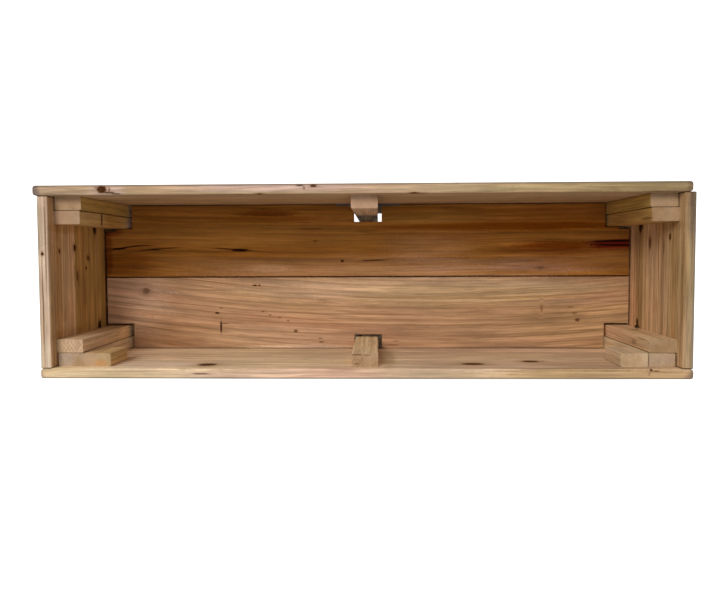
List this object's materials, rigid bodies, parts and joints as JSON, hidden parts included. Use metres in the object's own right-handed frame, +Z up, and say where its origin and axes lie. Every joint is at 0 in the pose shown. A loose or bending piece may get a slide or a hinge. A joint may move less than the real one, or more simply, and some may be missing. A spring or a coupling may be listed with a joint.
{
  "type": "rolling planter box",
  "caption": "Long open-topped timber planter box of stacked boards on swivel casters, with corner posts, middle battens and a raised board floor.",
  "frame": {"origin": "bottom centre of the object's box, on the ground under the wheels", "axes": "+X along the box to its right end, +Y to the rear long wall, +Z up"},
  "size_m": [1.077, 0.32, 0.598],
  "materials": {
    "front_wall_boards": "matt",
    "rear_wall_boards": "matt",
    "left_wall_boards": "matt",
    "right_wall_boards": "matt",
    "battens": "sawn",
    "front_floor_board": "matt",
    "rear_floor_board": "matt",
    "hidden_timber": "sawn",
    "zinc_plated_steel": "satin",
    "screw_steel": "satin",
    "wheel_rubber": "matt",
    "brake_plastic": "matt"
  },
  "bodies": {
    "planter_box": {"front_wall_board_1": "front_wall_boards", "front_wall_board_2": "front_wall_boards", "front_wall_board_3": "front_wall_boards", "front_wall_board_4": "front_wall_boards", "front_wall_board_5": "front_wall_boards", "front_wall_board_6": "front_wall_boards", "rear_wall_board_1": "rear_wall_boards", "rear_wall_board_2": "rear_wall_boards", "rear_wall_board_3": "rear_wall_boards", "rear_wall_board_4": "rear_wall_boards", "rear_wall_board_5": "rear_wall_boards", "rear_wall_board_6": "rear_wall_boards", "left_end_board_1": "left_wall_boards", "left_end_board_2": "left_wall_boards", "left_end_board_3": "left_wall_boards", "left_end_board_4": "left_wall_boards", "left_end_board_5": "left_wall_boards", "left_end_board_6": "left_wall_boards", "right_end_board_1": "right_wall_boards", "right_end_board_2": "right_wall_boards", "right_end_board_3": "right_wall_boards", "right_end_board_4": "right_wall_boards", "right_end_board_5": "right_wall_boards", "right_end_board_6": "right_wall_boards", "front_left_outer_post_batten": "battens", "front_left_inner_post_batten": "battens", "front_right_outer_post_batten": "battens", "front_right_inner_post_batten": "battens", "rear_left_outer_post_batten": "battens", "rear_left_inner_post_batten": "battens", "rear_right_outer_post_batten": "battens", "rear_right_inner_post_batten": "battens", "front_middle_batten": "battens", "rear_middle_batten": "battens", "front_left_corner_block": "battens", "front_right_corner_block": "battens", "front_floor_board": "front_floor_board", "rear_floor_board": "rear_floor_board", "left_floor_bearer": "hidden_timber", "middle_floor_bearer": "hidden_timber", "right_floor_bearer": "hidden_timber", "left_caster_board": "hidden_timber", "right_caster_board": "hidden_timber", "caster_plates": "zinc_plated_steel", "box_screws": "screw_steel", "caster_screws": "zinc_plated_steel"},
    "front_left_swivel_fork": {"front_left_fork": "zinc_plated_steel", "front_left_axle_bolt": "zinc_plated_steel"},
    "front_left_rolling_wheel": {"front_left_wheel": "wheel_rubber"},
    "front_left_pedal": {"front_left_brake_pedal": "brake_plastic"},
    "front_right_swivel_fork": {"front_right_fork": "zinc_plated_steel", "front_right_axle_bolt": "zinc_plated_steel"},
    "front_right_rolling_wheel": {"front_right_wheel": "wheel_rubber"},
    "front_right_pedal": {"front_right_brake_pedal": "brake_plastic"},
    "rear_left_swivel_fork": {"rear_left_fork": "zinc_plated_steel", "rear_left_axle_bolt": "zinc_plated_steel"},
    "rear_left_rolling_wheel": {"rear_left_wheel": "wheel_rubber"},
    "rear_right_swivel_fork": {"rear_right_fork": "zinc_plated_steel", "rear_right_axle_bolt": "zinc_plated_steel"},
    "rear_right_rolling_wheel": {"rear_right_wheel": "wheel_rubber"}
  },
  "joints": [
    {"name": "front_left_caster_swivel", "type": "hinge", "parent": "planter_box", "child": "front_left_swivel_fork", "pos_m": [-0.47, -0.1, 0.064], "axis": [0, 0, 1], "continuous": true},
    {"name": "front_left_wheel_spin", "type": "hinge", "parent": "front_left_swivel_fork", "child": "front_left_rolling_wheel", "pos_m": [-0.49067, -0.10752, 0.025], "axis": [0.342, -0.9397, 0], "continuous": true},
    {"name": "front_left_brake_press", "type": "hinge", "parent": "front_left_swivel_fork", "child": "front_left_pedal", "pos_m": [-0.50759, -0.11368, 0.053], "axis": [0.342, -0.9397, 0], "range_deg": [-12, 0]},
    {"name": "front_right_caster_swivel", "type": "hinge", "parent": "planter_box", "child": "front_right_swivel_fork", "pos_m": [0.476, -0.1, 0.064], "axis": [0, 0, 1], "continuous": true},
    {"name": "front_right_wheel_spin", "type": "hinge", "parent": "front_right_swivel_fork", "child": "front_right_rolling_wheel", "pos_m": [0.49285, -0.11414, 0.025], "axis": [0.6428, 0.766, 0], "continuous": true},
    {"name": "front_right_brake_press", "type": "hinge", "parent": "front_right_swivel_fork", "child": "front_right_pedal", "pos_m": [0.50664, -0.12571, 0.053], "axis": [0.6428, 0.766, 0], "range_deg": [-12, 0]},
    {"name": "rear_left_caster_swivel", "type": "hinge", "parent": "planter_box", "child": "rear_left_swivel_fork", "pos_m": [-0.47, 0.1, 0.064], "axis": [0, 0, 1], "continuous": true},
    {"name": "rear_left_wheel_spin", "type": "hinge", "parent": "rear_left_swivel_fork", "child": "rear_left_rolling_wheel", "pos_m": [-0.48905, 0.111, 0.025], "axis": [-0.5, -0.866, 0], "continuous": true},
    {"name": "rear_right_caster_swivel", "type": "hinge", "parent": "planter_box", "child": "rear_right_swivel_fork", "pos_m": [0.476, 0.1, 0.064], "axis": [0, 0, 1], "continuous": true},
    {"name": "rear_right_wheel_spin", "type": "hinge", "parent": "rear_right_swivel_fork", "child": "rear_right_rolling_wheel", "pos_m": [0.49505, 0.111, 0.025], "axis": [-0.5, 0.866, 0], "continuous": true}
  ]
}
